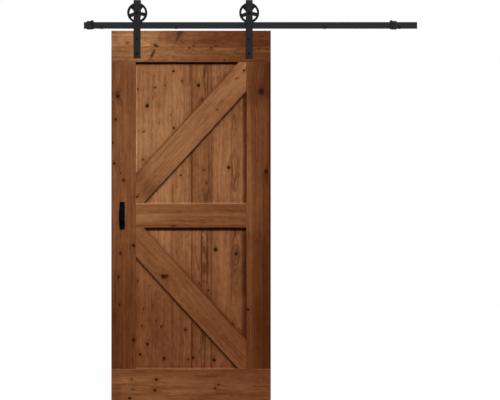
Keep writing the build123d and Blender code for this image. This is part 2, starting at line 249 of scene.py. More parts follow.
world = bpy.data.worlds.new("white_room")
scene.world = world
world.use_nodes = True
sky = world.node_tree
sky.nodes.clear()
rays = add_node(sky, "LightPath")
away = Value(add_node(sky, "TexCoord"), "Generated").axis("Y")
seen_gloss = away.ease(-GLOSS_TURN, GLOSS_TURN, FRONT_GLOSS_LEVEL, 1.0)
gloss_or_fill = mix(Value(rays, "Is Glossy Ray"), SKY_FILL, seen_gloss)
seen_directly = Value(rays, "Is Camera Ray").maths("MAXIMUM", Value(rays, "Is Transmission Ray"))
sky_level = mix(seen_directly, gloss_or_fill, 1.0)
background = add_node(sky, "Background", {"Color": WHITE, "Strength": sky_level})
add_node(sky, "OutputWorld", {"Surface": background})
print("sky fill", round(SKY_FILL, 3))

# %% [markdown]
# ## Floor
# A plain floor lies just under the door. A white one would throw light up into the dark lines under the
# rails, so it is grey for light that bounces. For the camera it glows nearly white, and a thin layer of
# plain paint on the glow carries the door's soft shadow.

# %% Floor
FLOOR_GAP = 0.012
FLOOR_SIZE = 14
FLOOR_BOUNCE = (0.12, 0.12, 0.12, 1)
FLOOR_GLOW = 0.85
FLOOR_SHADE = (0.105, 0.105, 0.105, 1)


def start_fresh(*chosen):
    """Deselect all, then select the chosen pieces, with the first of them active."""
    for item in bpy.context.selected_objects:
        item.select_set(False)
    for item in chosen:
        item.select_set(True)
    if chosen:
        bpy.context.view_layer.objects.active = chosen[0]


start_fresh()
bpy.ops.mesh.primitive_plane_add(size=FLOOR_SIZE, location=(camera_x, 0, cad_low.z - FLOOR_GAP))
floor = bpy.context.object
floor.name = "floor"
floor_paint = bpy.data.materials.new("pale_floor")
floor_paint.use_nodes = True
tree = floor_paint.node_tree
tree.nodes.clear()
rays = add_node(tree, "LightPath")
seen = Value(rays, "Is Camera Ray").maths("MAXIMUM", Value(rays, "Is Glossy Ray"))
plain = add_node(tree, "BsdfDiffuse", {"Color": FLOOR_BOUNCE})
shade = add_node(tree, "BsdfDiffuse", {"Color": FLOOR_SHADE})
glow = add_node(tree, "Emission", {"Strength": FLOOR_GLOW})
pale = add_node(tree, "AddShader", {0: shade, 1: glow})
either = add_node(tree, "MixShader", {0: seen, 1: plain, 2: pale})
add_node(tree, "OutputMaterial", {"Surface": either})
floor.data.materials.append(floor_paint)
print("floor at", round(cad_low.z - FLOOR_GAP, 4))

# %% [markdown]
# ## Stained pine: tools for the grain
# Node groups hold what all the boards share. Noise with its own size along each axis makes long fibres
# and short blotches alike. It is moved to lie about zero, so that it can be added without a change of tone.

# %% Group and noise helpers


def new_group(name, inputs, outputs):
    """A node group with named sockets. A name ends in a star where the socket takes a vector."""
    group = bpy.data.node_groups.new(name, "ShaderNodeTree")
    for flow, sockets in (("INPUT", inputs), ("OUTPUT", outputs)):
        for socket_name in sockets.split():
            kind = "NodeSocketVector" if socket_name.endswith("*") else "NodeSocketFloat"
            group.interface.new_socket(socket_name.rstrip("*"), in_out=flow, socket_type=kind)
    source = group.nodes.new("NodeGroupInput")
    given = {socket.name: Value(source, socket.name) for socket in source.outputs}
    return group, given, group.nodes.new("NodeGroupOutput").inputs


def noise(point, cycles, seed, detail=2.0):
    """Noise about zero, from -0.5 to 0.5, with its own size along each axis, as cycles a metre."""
    inputs = {"Vector": point * cycles, "W": seed, "Scale": 1.0, "Detail": detail}
    return Value(add_node(point.tree, "TexNoise", inputs, noise_dimensions="4D"), "Fac") - 0.5


print("grain helpers", [tool.__name__ for tool in (new_group, noise)])

# %% [markdown]
# ## Stained pine: the rings
# A sawn board is a slice through a tree, so its figure is best made in the round. Rings run about a pith
# line that wanders beside the board. Where the line lies close under the face, the rings come out as long
# arches, and away from it as straight lines, with no image and no seam at the board's ends. Each year's
# ring darkens slowly and ends sharply, and some years are stronger than others. A noise is noted as its
# cycles a metre along each axis, the step of its seed and, for some, its detail.

# %% Rings
SIDEWAYS_WANDER, SIDEWAYS_NOISE = 0.03, ((0, 0, 1.6), 7.3)
DEPTH_WANDER, DEPTH_NOISE = 0.08, ((0, 0, 1.7), 0.0, 3)
RIPPLE, RIPPLE_NOISE = 0.005, ((26, 26, 3.2), 3.1, 3)
LATEWOOD_RISE = (0.3, 0.86)
LATEWOOD_FALL = (0.88, 1.0)
YEAR_POWER = 1.6
ACROSS_PITH = (1, 1, 0)

grain, given, result = new_group(
    "grain", "Point* Pith* Spacing Seed Pull Streaks Mottle", "Latewood Streak Fibre",
)
grain_point = given["Point"]


def grain_noise(point, cycles, seed_step, detail=2.0):
    """Noise in the grain group that differs from board to board, and from use to use by a step."""
    return noise(point, cycles, given["Seed"] + seed_step, detail)


sideways = grain_noise(grain_point, *SIDEWAYS_NOISE) * SIDEWAYS_WANDER
deeper = grain_noise(grain_point, *DEPTH_NOISE) * DEPTH_WANDER
from_pith = grain_point - given["Pith"] - combine(grain, sideways, deeper, 0.0)
across = (from_pith * ACROSS_PITH).maths("LENGTH")
radius = grain_noise(grain_point, *RIPPLE_NOISE) * RIPPLE + across + given["Pull"]
rings = radius / given["Spacing"]
phase = rings.maths("FRACT")
ring = phase.ease(*LATEWOOD_RISE) * phase.ease(*LATEWOOD_FALL, 1.0, 0.0)
year = add_node(grain, "TexWhiteNoise", {"W": rings.maths("FLOOR") + given["Seed"]}, noise_dimensions="1D")
join(result["Latewood"], ring * Value(year, "Value") ** YEAR_POWER)
print("nodes for the rings", len(grain.nodes))

# %% [markdown]
# ## Stained pine: streaks and speckle
# Stain sinks deeper into some fibres than others, which leaves long streaks of three sizes. They follow the
# rings' wander and bend round the knots with them. A broad cloud and a fine speckle on top keep the streaks
# from looking ruled. The finest fibres only show in the gloss and the relief.

# %% Streaks
STREAKS = (((24, 24, 0.7), 1.1, 0.75), ((85, 85, 2.2), 1.7, 1.3), ((240, 240, 6), 2.9, 0.8))
CLOUD, CLOUD_NOISE = 0.6, ((8, 8, 3), 9.1)
SPECKLE_NOISE = ((60, 60, 34), 5.3, 3)
FIBRE_NOISE = ((900, 900, 22), 0.0)

streak_point = from_pith + combine(grain, given["Pull"], 0.0, 0.0)
lines = 0.0
for cycles, seed_step, height in STREAKS:
    lines = grain_noise(streak_point, cycles, seed_step) * height + lines
cloud = grain_noise(grain_point, *CLOUD_NOISE) * CLOUD + 1.0
speckle = grain_noise(grain_point, *SPECKLE_NOISE)
join(result["Streak"], lines * given["Streaks"] + speckle * given["Mottle"] + cloud)
join(result["Fibre"], grain_noise(grain_point, *FIBRE_NOISE))
print("nodes with the streaks", len(grain.nodes))

# %% [markdown]
# ## Stained pine: knots
# A knot is a branch cut across. The rings bend round it, the wood beside it is darker, and the knot itself
# takes so much stain that it is nearly black. A small group adds one knot to what came before, so the
# knots of a board are a chain. With no strength a knot only bends the rings. Drawn long and thin it is a
# dark line of the figure, and drawn hollow it is a loop, as where a branch lies just under the face.

# %% Knot group
DISC_EDGE = (0.45, 1.25)
LOOP_RADIUS, LOOP_EDGE = 0.9, (0.04, 0.2)
BEND_WIDTHS, BEND_HEIGHT = (2.2, 4.5), 1.3
HALO_WIDTHS = (1.7, 2.6)

knot, given, result = new_group(
    "knot", "Point* Place* Radius Long Turn Strength Hollow Pull Dark Halo", "Pull Dark Halo",
)
beside = {"Vector": given["Point"] - given["Place"], "Angle": given["Turn"]}
offset = Value(add_node(knot, "VectorRotate", beside, rotation_type="Y_AXIS"))
side = offset.axis("X") / given["Radius"]
length = offset.axis("Z") / (given["Radius"] * given["Long"])
side_squared = side * side
length_squared = length * length
reach = (side_squared + length_squared).maths("SQRT")
disc = reach.ease(*DISC_EDGE, 1.0, 0.0)
loop = (reach - LOOP_RADIUS).maths("ABSOLUTE").ease(*LOOP_EDGE, 1.0, 0.0)
filled = 1.0 - given["Hollow"]
core = (loop * given["Hollow"] + disc * filled) * given["Strength"]
join(result["Dark"], given["Dark"].maths("MAXIMUM", core))


def hill(side_width, length_width):
    """A smooth hill over the knot, so many radii wide and long."""
    return (side_squared / -side_width**2 + length_squared / -length_width**2).maths("EXPONENT")


bend_height = given["Radius"] * BEND_HEIGHT
join(result["Pull"], hill(*BEND_WIDTHS) * bend_height + given["Pull"])
shade_round = hill(*HALO_WIDTHS) * (given["Strength"] * filled)
join(result["Halo"], given["Halo"].maths("MAXIMUM", shade_round))
print("nodes for a knot", len(knot.nodes))

# %% [markdown]
# ## Stained pine: patches of stain and painted light
# Stain is wiped on by hand, and it gathers along joints and thins out elsewhere. A second group multiplies
# the board's level by a gain inside a soft-edged box. It acts on the front half of the board alone, because
# the back was wiped on its own. Some patches are stain, and some paint highlights along edges of the frame
# and shadows under the rails and the track.

# %% Patch group for stain and painted light
FRONT_HALF = 0.003

patch, given, result = new_group("stain_and_light_patch", "Point* Place* Half* Soft Gain Level", "Level")
outside = (given["Point"] - given["Place"]).maths("ABSOLUTE") - given["Half"]
inner = given["Soft"] * -1.0
cover = given["Point"].axis("Y").ease(-FRONT_HALF, FRONT_HALF, 1.0, 0.0)
for name in "XZ":
    cover = cover * outside.axis(name).ease(inner, given["Soft"], 1.0, 0.0)
join(result["Level"], given["Level"] * ((given["Gain"] - 1.0) * cover + 1.0))
print("nodes for a patch", len(patch.nodes))

# %% [markdown]
# ## Stained pine: a board's own coordinates
# A Mapping node turns the frame's coordinates so that Z runs along the grain, whichever way the board lies,
# and X across it. The board's knots and patches are noted in pixels, and the same turn brings them along.

# %% Board coordinates
UPRIGHT = 90
UPRIGHT_FADE = (335, 200)


class Board:
    """One board's box, and the turn that brings its grain, at an angle from +X, on to the Z axis."""

    def __init__(self, name, angle, width=0):
        self.low, self.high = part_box(name)
        self.centre = (self.low + self.high) / 2
        self.turn = Matrix.Rotation(math.radians(angle - UPRIGHT), 3, "Y")
        self.half_width = (width or self.high.x - self.low.x) / 2
        half_length = max(abs(value) for value in self.turn @ (self.high - self.low)) / 2
        self.fade = (-half_length, half_length)
        if angle == UPRIGHT:
            self.fade = [self.spot(0, py).z for py in UPRIGHT_FADE]

    def spot(self, px, py):
        """The place on the board's face that shows at a pixel."""
        found = self.turn @ (photo_point(px, py, self.low.y) - self.centre)
        return Vector((found.x, 0, found.z))

    def coordinates(self, tree):
        """The board's own coordinates of the point that is shaded."""
        return Value(add_node(tree, "Mapping", {
            "Vector": Value(add_node(tree, "TexCoord"), "Object"),
            "Rotation": self.turn.to_euler(), "Location": -(self.turn @ self.centre),
        }))


print("the planks change tone between z", [round(photo_point(0, py).z, 3) for py in UPRIGHT_FADE])

# %% [markdown]
# ## Stained pine: marks on a board
# Two functions chain a board's knots and patches. A knot is noted as across, down and radius in pixels,
# then how long it is along the grain, how strong, and its tilt in degrees. A strength below zero asks for
# a loop. A patch is noted as left, top, right, bottom, softness in pixels, and gain. A little noise on the
# knots' coordinates keeps their outlines from being ovals.

# %% Marks on a board
KNOT_DEFAULTS = (1.0, 1.0, 0)
KNOT_SPREAD = 1.22
ROUGH_OUTLINE, ROUGH_CYCLES, ROUGH_SEEDS = 0.006, (190, 190, 140), (0, 5.5)
ON_FACE = (1, 0, 1)


def add_knots(board, point, seed, knots):
    """Chain a board's knots, and hand on how they pull the rings, darken the wood and shade round them."""
    rough_x, rough_z = [noise(point, ROUGH_CYCLES, seed + step) * ROUGH_OUTLINE for step in ROUGH_SEEDS]
    flat = point * ON_FACE + combine(point.tree, rough_x, 0.0, rough_z)
    chain = {"Pull": 0.0, "Dark": 0.0, "Halo": 0.0}
    for entry in knots:
        px, py, radius, stretch, strength, tilt = (*entry, *KNOT_DEFAULTS[len(entry) - 3:])
        found = add_node(point.tree, "Group", {
            "Point": flat, "Place": board.spot(px, py), "Radius": radius * KNOT_SPREAD * metres_per_px,
            "Long": stretch, "Turn": math.radians(tilt), "Strength": abs(strength),
            "Hollow": float(strength < 0), **chain,
        }, node_tree=knot)
        chain = {key: Value(found, key) for key in chain}
    return chain


def add_patches(board, point, level, patches):
    """Multiply a level by the gain of each patch, inside it."""
    for left, top, right, bottom, soft, gain in patches:
        first, second = board.spot(left, top), board.spot(right, bottom)
        level = Value(add_node(point.tree, "Group", {
            "Point": point, "Place": (first + second) / 2, "Soft": soft * metres_per_px,
            "Half": [abs(value) / 2 for value in second - first], "Gain": gain, "Level": level,
        }, node_tree=patch))
    return level


print("a knot of one pixel has a radius of", round(KNOT_SPREAD * metres_per_px * 1000, 1), "mm")

# %% [markdown]
# ## Stained pine: seams, arrises and painted corner shade
# Beside a seam between two planks the stain is darker, and the same darkening paints shade along the long
# edges of the braces. On a rounded edge the wood is paler, partly as stain rubbed thin and partly as a
# painted highlight. In the corners where the frame stands on the planks, shade is painted into the colour,
# from an
# Ambient Occlusion node that finds the corners without knowing where each board lies.

# %% Edges of a board
# Darker sides: stain beside the plank seams, and painted shade along the brace edges.
SEAM_AND_EDGE_SHADE_DEPTH = 0.7
SEAM_AND_EDGE_SHADE_REACH = (0.010, 0.002)
# Rounded edges are painted paler, partly as rubbed stain and partly as a painted highlight.
ARRIS_PALE_AND_HIGHLIGHT = 0.45
ARRIS_START, ARRIS_END = (0.05, 0.4), (0.75, 0.97)
# Painted shade in the inside corners: its depth, reach, samples and edges.
CORNER_SHADE_LEVEL = 0.72
CORNER_SHADE_REACH = 0.045
CORNER_SHADE_SAMPLES = 8
CORNER_SHADE_EDGE = (0.55, 1.0)
CORNER_SHADE_FACING = (0.9, 0.98)


def darken(level, share, depth):
    return level * (1.0 - share * depth)


def add_seams_and_edge_shade(board, across_board, level, seams):
    """Darken the left and the right side of a board, each by its own strength."""
    for toward, side_darkening in zip((-1.0, 1.0), seams):
        at_side = (across_board * toward).ease(*[board.half_width - reach for reach in SEAM_AND_EDGE_SHADE_REACH])
        level = darken(level, at_side, SEAM_AND_EDGE_SHADE_DEPTH * side_darkening)
    return level


def add_edges(level, with_corner_shade):
    """Lift the level on rounded edges, partly as rubbed stain and partly as a painted highlight, and paint
    shade in the corners on a board's faces.
    """
    facing = Value(add_node(level.tree, "NewGeometry"), "Normal").axis("Y").maths("ABSOLUTE")
    # Paler rounded edges: partly rubbed stain, partly a painted highlight.
    edge_wear_and_highlight = facing.ease(*ARRIS_START) * facing.ease(*ARRIS_END, 1.0, 0.0)
    level = darken(level, edge_wear_and_highlight, -ARRIS_PALE_AND_HIGHLIGHT)
    # Painted shade in the inside corners, found by Ambient Occlusion.
    if with_corner_shade:
        reach = {"Distance": CORNER_SHADE_REACH}
        corner = Value(add_node(level.tree, "AmbientOcclusion", reach, samples=CORNER_SHADE_SAMPLES), "AO")
        painted_corner_shade = corner.ease(*CORNER_SHADE_EDGE, 1.0, 0.0) * facing.ease(*CORNER_SHADE_FACING)
        level = darken(level, painted_corner_shade, 1 - CORNER_SHADE_LEVEL)
    return level


print("edge helpers", [tool.__name__ for tool in (darken, add_seams_and_edge_shade, add_edges)])

# %% [markdown]
# ## Stained pine: one finish for a board
# Each board gets its own material from one function. All that darkens or lightens the wood, painted
# highlights and shade included, is gathered in one level. It goes from one value at the board's start to
# another at its end, partly as uneven stain and partly as painted shade, and most boards are darker towards
# the door's bottom and right. One stain colour serves the whole door. Darker stain is redder, so the level
# acts more on green and blue than on red.

# %% Material helpers
COLOUR_A, COLOUR_B, COLOUR_RESULT = 6, 7, 2


def new_material(name):
    material = bpy.data.materials.new(name)
    material.use_nodes = True
    return material, material.node_tree, material.node_tree.nodes["Principled BSDF"]


def mix_colour(tree, share, first, second, blend="MIX"):
    inputs = {"Factor": share, COLOUR_A: first, COLOUR_B: second}
    return Value(add_node(tree, "Mix", inputs, data_type="RGBA", blend_type=blend), COLOUR_RESULT)


def relief(height, strength, distance):
    """Fine relief of a finish, from a height and the distance that a height of one stands for."""
    return add_node(height.tree, "Bump", {"Strength": strength, "Distance": distance, "Height": height})


print("material helpers", [tool.__name__ for tool in (new_material, mix_colour, relief)])

# %% Board material
WOOD_STAIN = (0.296, 0.127, 0.053, 1)
KNOT_COLOUR = (0.015, 0.007, 0.002, 1)
GREEN_POWER, BLUE_POWER = 1.35, 1.58
LATEWOOD_DEPTH = 0.3
HALO_DEPTH = 0.22
RING_SPACING = 0.0068
WOOD_ROUGHNESS, FIBRE_ROUGHNESS = 0.55, 0.2
WOOD_SPECULAR = 0.08
WOOD_SHEEN = (1, 0.6, 0.3, 1)
RELIEF_STRENGTH, RELIEF_HEIGHT = 0.35, 0.0006
RING_RELIEF, FIBRE_RELIEF = 0.5, 0.6


def wood_material(name, angle, levels, pith, seed, knots=(), patches=(), seams=(), figure=0.6,
                  streaks=0.8, mottle=0.5, width=0):
    """Stained pine for the board of this name, with its grain at an angle from +X."""
    board = Board(name, angle, width)
    material, tree, shader = new_material("pine_" + name)
    point = board.coordinates(tree)
    marks = add_knots(board, point, seed, knots)
    looks = add_node(tree, "Group", {
        "Point": point, "Pith": pith, "Spacing": RING_SPACING, "Seed": seed, "Pull": marks["Pull"],
        "Streaks": streaks, "Mottle": mottle,
    }, node_tree=grain)
    latewood = Value(looks, "Latewood")
    fibre = Value(looks, "Fibre")
    level = add_patches(board, point, Value(looks, "Streak"), patches)
    level = darken(level, latewood, LATEWOOD_DEPTH * figure)
    level = darken(level, marks["Halo"], HALO_DEPTH)
    level = add_seams_and_edge_shade(board, point.axis("X"), level, seams)
    level = add_edges(level, with_corner_shade=name.startswith("plank"))
    # From the board's start to its end the level changes, partly as uneven stain and partly as painted
    # shade.
    level = level * point.axis("Z").ease(*board.fade, *levels)
    tint = combine(tree, level, level**GREEN_POWER, level**BLUE_POWER)
    colour = mix_colour(tree, 1.0, WOOD_STAIN, tint, "MULTIPLY")
    height = latewood * RING_RELIEF + fibre * FIBRE_RELIEF - marks["Dark"]
    feed(shader, {
        "Base Color": mix_colour(tree, marks["Dark"], colour, KNOT_COLOUR),
        "Roughness": fibre * FIBRE_ROUGHNESS + WOOD_ROUGHNESS,
        "Specular IOR Level": WOOD_SPECULAR,
        "Specular Tint": WOOD_SHEEN,
        "Normal": relief(height, RELIEF_STRENGTH, RELIEF_HEIGHT),
    })
    return material


def dress(name, material):
    """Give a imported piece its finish."""
    mesh = nodes[name].data
    mesh.materials.clear()
    mesh.materials.append(material)


def dress_board(name, **looks):
    dress(name, wood_material(name, **looks))
    print(name, "knots", len(looks.get("knots", ())), "patches", len(looks.get("patches", ())))


print("one ring in", RING_SPACING * 1000, "mm")

# %% [markdown]
# ## The planks
# Eight upright planks fill the frame. Each has its own level above and below, its own pith, and the knots
# that the photograph shows. The level below is darker, partly as uneven stain and partly as painted shade.
# The fifth plank's dark figure is drawn with long thin knots, and the seventh plank's arches with loops.

# %% Levels and figure of the planks
PLANK_COUNT = 8
UPPER_LEVELS = (0.91, 1.06, 1.06, 1.0, 0.78, 0.9, 0.86, 0.63)
LOWER_LEVELS = (0.48, 0.52, 0.53, 0.51, 0.53, 0.56, 0.58, 0.41)
PITH_SIDE = (0.12, 0.22, -0.18, 0.2, 0.019, -0.2, -0.032, 0.2)
PITH_DEPTH = (0.09, 0.06, 0.1, 0.12, 0.016, 0.12, 0.03, 0.1)
PLANK_FIGURE = (0.6, 0.6, 0.6, 0.6, 1.2, 0.6, 1.3, 0.6)
SEAM_STRENGTHS = (0, 0.1, 0.15, 0.2, 0.6, 0.5, 0.25, 0.2, 0)
FIRST_SEED, SEED_STEP = 11.0, 3.7
print("planks", PLANK_COUNT, "seams", len(SEAM_STRENGTHS) - 2)

# %% Knots of the planks
PLANK_KNOTS = {
    1: [(137.7, 88.9, 0.8), (147.2, 105.8, 1.8), (143.7, 131.7, 1.1, 1, 0.8), (143.2, 159.7, 1.1, 1, 0.8),
        (137.6, 281.2, 0.7, 2, 0.7), (149.5, 286.1, 0.7, 1, 0.7), (142.9, 309.3, 0.9, 1, 0.8),
        (141.7, 325.7, 0.9, 1, 0.7), (147.5, 344.1, 1.5), (140.1, 354.6, 1.5)],
    2: [(154.7, 76, 0.8, 1, 0.7), (155.2, 87.5, 1, 1, 0.9), (165.6, 85.4, 0.8, 1.4, 0.6),
        (159.5, 105.5, 1.4, 1, 0.3), (159.2, 123.2, 0.8, 1, 0.7), (170.7, 114.9, 0.9, 1, 0.4),
        (152.6, 304.9, 0.8, 1, 0.6), (156.1, 320.6, 0.8, 1, 0.8), (161.1, 326.5, 0.9), (164.2, 358.4, 1.6),
        (151.5, 84, 1.2, 9, 0), (150.3, 145, 1.1, 9, 0)],
    3: [(173.6, 71.1, 1.2), (181.9, 81.1, 0.9, 1, 0.8), (173.9, 128.1, 1.1), (180.7, 175.3, 0.9),
        (185.4, 329.7, 1.3), (188.2, 359.4, 1.1, 0.7)],
    4: [(198.6, 85.4, 1.7), (202.3, 99.8, 1.2, 1.6, 0.7), (203.6, 170.1, 1, 1, 0.7),
        (206.4, 183.1, 0.9, 1, 0.9), (208.4, 290.4, 1.1, 1.2, 0.8), (192.8, 357.8, 1.7),
        (202.4, 231.6, 1.2, 1, 0.5), (204.4, 72, 0.8, 7, 0.55, -4), (205, 88, 0.6, 10, 0.5, 4),
        (207.6, 86, 0.6, 14, 0.45, 2), (201.6, 258, 0.7, 40, 0.55), (207.1, 256, 0.7, 36, 0.6),
        (204.1, 250, 0.8, 5, 0.6), (204.1, 250, 1.7, 4.5, -0.35), (203.9, 268.5, 2.6, 2, 0.45),
        (203.6, 280.7, 1.2, 1.1, 0.4), (203, 336, 1.7, 3.4, 0.5), (200.9, 350, 0.6, 26, 0.45, 2),
        (205, 350, 0.6, 26, 0.45, -2), (205.8, 197, 1.8, 3.4, 0.4), (208.9, 170, 0.7, 46, 0.4)],
    5: [(228.6, 167.6, 1.6), (215.5, 249.7, 2), (214.1, 360.1, 2, 0.8)],
    6: [(236.1, 253.8, 1.6), (232.1, 324.3, 1.4), (235.6, 255, 3.7, 2.3, -0.3),
        (236, 256, 2.2, 2.8, -0.25), (235.4, 272, 2.6, 4, -0.2), (234.8, 166, 2.6, 5.2, -0.3),
        (234.8, 172, 3.6, 4.6, -0.3), (234.8, 108, 2.4, 6, -0.25), (235, 112, 3.6, 4.6, -0.2)],
}
print("knots", sum(len(found) for found in PLANK_KNOTS.values()))

# %% Stain, painted highlights and painted shadows on the planks
# Painted highlights along the tops of the middle and bottom rails, and painted shadows under the top and
# middle rails.
RAIL_HIGHLIGHTS_AND_SHADOWS = [(100, 202.4, 280, 212, 1.6, 1.8), (100, 367.6, 280, 376, 0.7, 1.8),
            (100, 56, 280, 64.4, 0.4, 0.16), (100, 224, 280, 230.8, 0.7, 0.2)]
PLANK_PATCHES = {
    # The second plank's patches paint a highlight along the left stile's inner edge.
    1: [(130, 66, 137, 172, 0.6, 1.8), (130, 262, 136.6, 367, 0.9, 1.2)],
    3: [(188.9, 60, 194, 204, 0.7, 0.8)],
    4: [(202.8, 234, 205.8, 262, 0.7, 1.3), (188, 228, 200.6, 275, 1, 1.12),
        (190, 150, 193, 203, 0.9, 0.8)],
    5: [(209, 136, 213.8, 203, 1, 0.82), (205, 226, 232, 300, 3, 0.93)],
    # The seventh plank is darker in a band beside the right stile.
    6: [(242.8, 60, 254, 205, 1.4, 0.42), (242, 225, 254, 372, 2.2, 0.46),
        (229, 226, 254, 296, 4, 0.76)],
}
for index in range(PLANK_COUNT):
    dress_board(
        f"plank_{index + 1}", angle=UPRIGHT, levels=(LOWER_LEVELS[index], UPPER_LEVELS[index]),
        pith=(PITH_SIDE[index], PITH_DEPTH[index], 0), seed=FIRST_SEED + SEED_STEP * index,
        knots=PLANK_KNOTS.get(index, ()), patches=RAIL_HIGHLIGHTS_AND_SHADOWS + PLANK_PATCHES.get(index, []),
        seams=SEAM_STRENGTHS[index:index + 2], figure=PLANK_FIGURE[index], streaks=0.6, mottle=0.8,
    )

# %% [markdown]
# ## The rails
# Three boards lie across the planks, with their grain along X. The top rail is the most figured board of
# the door: pale at its left end, with slanted knots, and dark at its right end.

# %% Top rail
dress_board(
    "top_rail", angle=0, levels=(1.03, 0.37), pith=(0.25, 0.12, 0), seed=2,
    knots=[(127.1, 43, 1.4, 1.4, 0.5, 30), (155.8, 45.5, 1.6, 1.6, 0.8, -35),
           (152.8, 53.8, 1.5, 3.2, 0.75, 65), (179.8, 33.2, 2.6, 1.5, 0.6, 60),
           (177.6, 38, 1.4, 2.8, 0.6, 65), (189.4, 48, 0.9, 1, 0.8), (193.4, 46, 0.7), (211.2, 48, 0.8),
           (216, 46.4, 0.7, 1, 0.8), (222.7, 43.5, 0.8, 1, 0.4), (235.9, 52, 1.2, 1.4, 0.35, 40),
           (224.4, 60.2, 0.7), (258.9, 48.7, 1, 1.4, 0.6), (267.5, 49.3, 0.9, 1.4, 0.5)],
    patches=[(118, 28, 158, 41.5, 2.5, 1.25), (165, 28, 183, 44.5, 2, 0.82),
             (180, 40, 216, 44.6, 0.9, 0.8), (183, 28, 275, 36, 1.5, 0.95),
             (141, 41.5, 178, 46, 1, 1.1), (145.5, 43, 150.5, 46, 0.9, 1.3),
             (108, 46.4, 178, 47.6, 0.6, 0.86), (184, 47.6, 275, 52.4, 1.2, 1.3),
             (210, 44.8, 275, 52.4, 1.2, 1.12), (106, 48.5, 131, 64, 3, 0.8),
             # The last patch paints the track's shadow along the top rail's upper edge.
             (108, 26, 275, 33, 1, 0.92)],
    streaks=0.7, mottle=0.9,
)

# %% Middle and bottom rail
dress_board(
    "middle_rail", angle=0, levels=(0.79, 0.57), pith=(0.3, 0.1, 0), seed=17,
    knots=[(173, 226, 1.2, 2.2, 0.5), (191, 227.5, 0.8, 2, 0.4)],
    # The first patch paints a highlight along the middle rail's top edge.
    patches=[(133, 198, 250, 204.4, 0.4, 1.45), (133, 204.4, 250, 209, 1.2, 0.95),
             (133, 208.5, 250, 211.5, 0.8, 0.9), (137, 212, 165, 222, 2, 1.15),
             (205, 219.5, 240, 224, 1.2, 1.18), (133, 224.2, 250, 232, 1.2, 0.76)],
)
dress_board(
    "bottom_rail", angle=0, levels=(0.64, 0.52), pith=(0.24, 0.08, 0), seed=31,
    knots=[(156.4, 379.5, 1.4), (154.8, 390.4, 1.3), (131.9, 379.5, 1.1, 1.2, 0.5),
           (132.6, 389.4, 1.1, 1.2, 0.4), (129.7, 398.3, 1.4), (218.4, 384.5, 1), (215.3, 388.3, 1),
           (264.1, 377.9, 1, 1, 0.5), (232.2, 395.4, 1.3, 1.2, 0.3)],
    patches=[(108, 379, 128, 384, 1, 1.15), (108, 377.6, 132, 378.6, 0.5, 0.8),
             (108, 384.6, 150, 385.6, 0.5, 0.8), (150, 385.5, 183, 389.5, 1.2, 0.84),
             (252, 385.5, 272, 387.4, 0.6, 0.84), (106, 369.6, 275, 373.6, 0.6, 0.82),
             # The first patch on the next line paints a highlight along the bottom rail's top edge.
             (134, 364, 246, 369.2, 0.4, 1.3), (121, 374.5, 195, 381.5, 1.5, 1.2),
             (163, 390, 215, 394.5, 1.2, 1.25), (106, 386, 121, 400, 2, 0.78)],
)

# %% [markdown]
# ## The stiles
# Two upright boards run from the top rail to the bottom rail. The right one has taken the most stain, and
# it is paler along its inner half.

# %% Stiles
dress_board(
    "left_stile", angle=UPRIGHT, levels=(0.36, 0.61), pith=(0.26, 0.1, 0), seed=43,
    knots=[(118, 96.2, 1.9, 1, 0.95), (117.6, 93.4, 1.7, 1.1, 0.5), (115.7, 119.2, 1.2, 1, 0.95),
           (115.6, 121.3, 0.8, 1.6, 0.4), (112.4, 94.2, 1.3, 1.4, 0.35), (112.5, 142.8, 0.9),
           (114.2, 163.4, 1.3, 1, 0.9), (120.6, 173.2, 0.8, 1, 0.7), (123.4, 180.1, 1.5, 1, 0.75, 40),
           (133.5, 245.7, 1.6), (120.6, 253.4, 1.2, 1.4, 0.9), (118.3, 277, 1.5, 1, 0.9),
           (119.4, 304.9, 1, 1.3), (133.8, 340, 1.5, 1.3), (112.8, 102, 0.8, 1.4, 0.6)],
    patches=[(106, 60, 116, 372, 2.4, 0.88), (106, 310, 118, 372, 4, 0.85),
             # The last patch paints a highlight along the left stile's inner edge.
             (133.8, 255, 140, 370, 0.6, 1.16)],
)
dress_board(
    "right_stile", angle=UPRIGHT, levels=(0.29, 0.395), pith=(-0.28, 0.1, 0), seed=57,
    knots=[(261.2, 91.4, 2.7, 1.15), (266.2, 171.5, 1.8, 1.4), (248, 309.5, 1.5, 0.8)],
    patches=[(262.5, 172, 268.5, 372, 1.4, 0.78), (257.5, 62, 276, 372, 3, 0.92),
             (240, 56, 252.5, 376, 2.5, 1.36), (240, 105, 263.5, 232, 8, 1.28),
             (262, 56, 278, 98, 6, 0.75), (268.8, 56, 276, 376, 0.6, 0.65),
             (240, 56, 246.6, 376, 0.5, 0.66)],
)

# %% [markdown]
# ## The braces
# Each brace runs from corner to corner of its panel and keeps its width, so its slope is a little less than
# the panel's own diagonal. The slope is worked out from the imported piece, for the grain has to follow it.

# %% Braces
BRACE_WIDTH = 0.148
BRACE_FOOT = 0.046
# Painted shade along both long edges of each brace.
BRACE_EDGE_SHADE = (0.65, 0.3)

